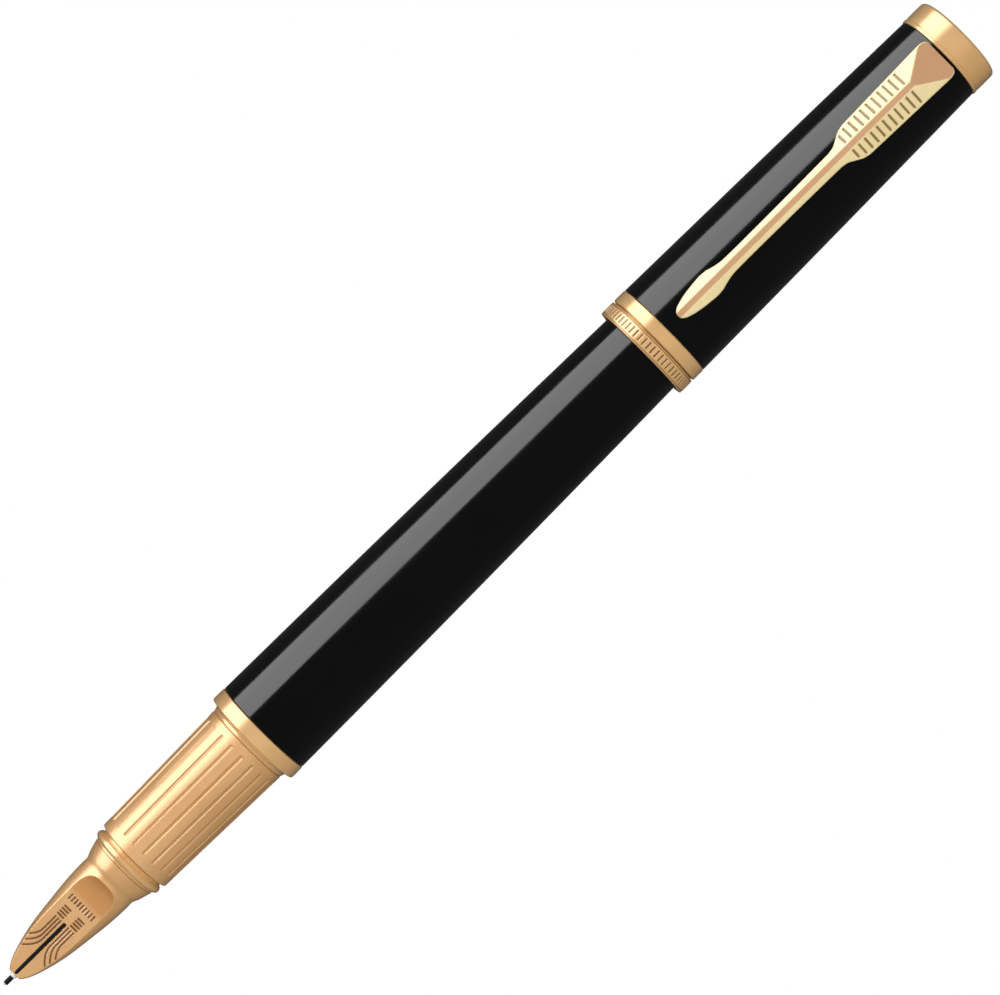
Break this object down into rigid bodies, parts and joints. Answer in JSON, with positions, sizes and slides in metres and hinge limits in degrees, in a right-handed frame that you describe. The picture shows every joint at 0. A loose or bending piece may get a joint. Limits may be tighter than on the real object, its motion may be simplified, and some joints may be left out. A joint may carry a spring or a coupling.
{
  "type": "rollerball pen",
  "caption": "Rollerball pen with its cap posted: tapered lacquered barrel and cap, fluted metal grip, slanting nib-shaped hood, spring clip and metal trim.",
  "frame": {"origin": "on the pen's axis at the middle of the grip, where fingers hold it", "axes": "+Z along the pen from the writing point to the cap's finial, -Y the side that the clip and the hood's facet face, +X to the right when that side is seen with the finial up"},
  "size_m": [0.0128, 0.0141, 0.1548],
  "materials": {
    "lacquer": "deep gloss black lacquer on brass tube",
    "rose_gold": "polished to satin rose-gold plating",
    "pale_gold": "polished pale gold plating",
    "brass": "turned brass",
    "steel": "drawn bright steel",
    "black_plastic": "moulded satin black plastic",
    "rubber": "matt black rubber",
    "fibre": "ink-soaked fibre rod"
  },
  "bodies": {
    "section": {"nib_hood": "rose_gold", "slit_inlay": "black_plastic", "tip_guide": "black_plastic", "front_ring": "rose_gold", "grip_sleeve": "rose_gold", "barrel_ring": "rose_gold", "section_core": "brass"},
    "barrel_seal": {"barrel_o_ring": "rubber"},
    "barrel": {"barrel_shell": "lacquer", "barrel_bushing": "brass", "spring_seat": "black_plastic", "tail_plug": "black_plastic", "refill_spring": "steel"},
    "refill": {"refill_tube": "steel", "refill_end_plug": "black_plastic", "refill_nose": "black_plastic", "ink_reservoir": "fibre", "point_collar": "steel", "point_housing": "black_plastic"},
    "ball": {"writing_ball": "steel"},
    "clutch": {"cap_clutch": "steel"},
    "cap": {"cap_bushing": "brass", "cap_band_lower": "rose_gold", "cap_band_upper": "rose_gold", "cap_shell": "lacquer", "cap_liner": "black_plastic", "clip_bracket": "black_plastic", "finial": "rose_gold", "finial_screw": "steel"},
    "clip": {"clip": "pale_gold"}
  },
  "joints": [
    {"name": "barrel_travel", "type": "slide", "parent": "section", "child": "barrel_seal", "axis": [0, 0, 1], "range_m": [0, 0.005]},
    {"name": "barrel_turn", "type": "hinge", "parent": "barrel_seal", "child": "barrel", "pos_m": [0, 0, 0.016], "axis": [0, 0, 1], "range_deg": [0, 1801]},
    {"name": "refill_press", "type": "slide", "parent": "section", "child": "refill", "axis": [0, 0, 1], "range_m": [0, 0.0008], "stiffness_N_per_m": 800, "springref_m": -0.003, "deforming": ["refill_spring"]},
    {"name": "ball_roll", "type": "hinge", "parent": "refill", "child": "ball", "pos_m": [0, 0, -0.02995], "axis": [1, 0, 0], "continuous": true},
    {"name": "cap_pull", "type": "slide", "parent": "barrel", "child": "clutch", "axis": [0, 0, 1], "range_m": [0, 0.03]},
    {"name": "cap_turn", "type": "hinge", "parent": "clutch", "child": "cap", "pos_m": [0, 0, 0.0795], "axis": [0, 0, 1], "continuous": true},
    {"name": "clip_lift", "type": "hinge", "parent": "cap", "child": "clip", "pos_m": [0, -0.0043, 0.1195], "axis": [-1, 0, 0], "range_deg": [0, 4], "stiffness_Nm_per_rad": 4, "springref_deg": -1.15}
  ],
  "couplings": [
    {"joint": "barrel_turn", "follows": "barrel_travel", "rad_per_m": 6283.2}
  ]
}
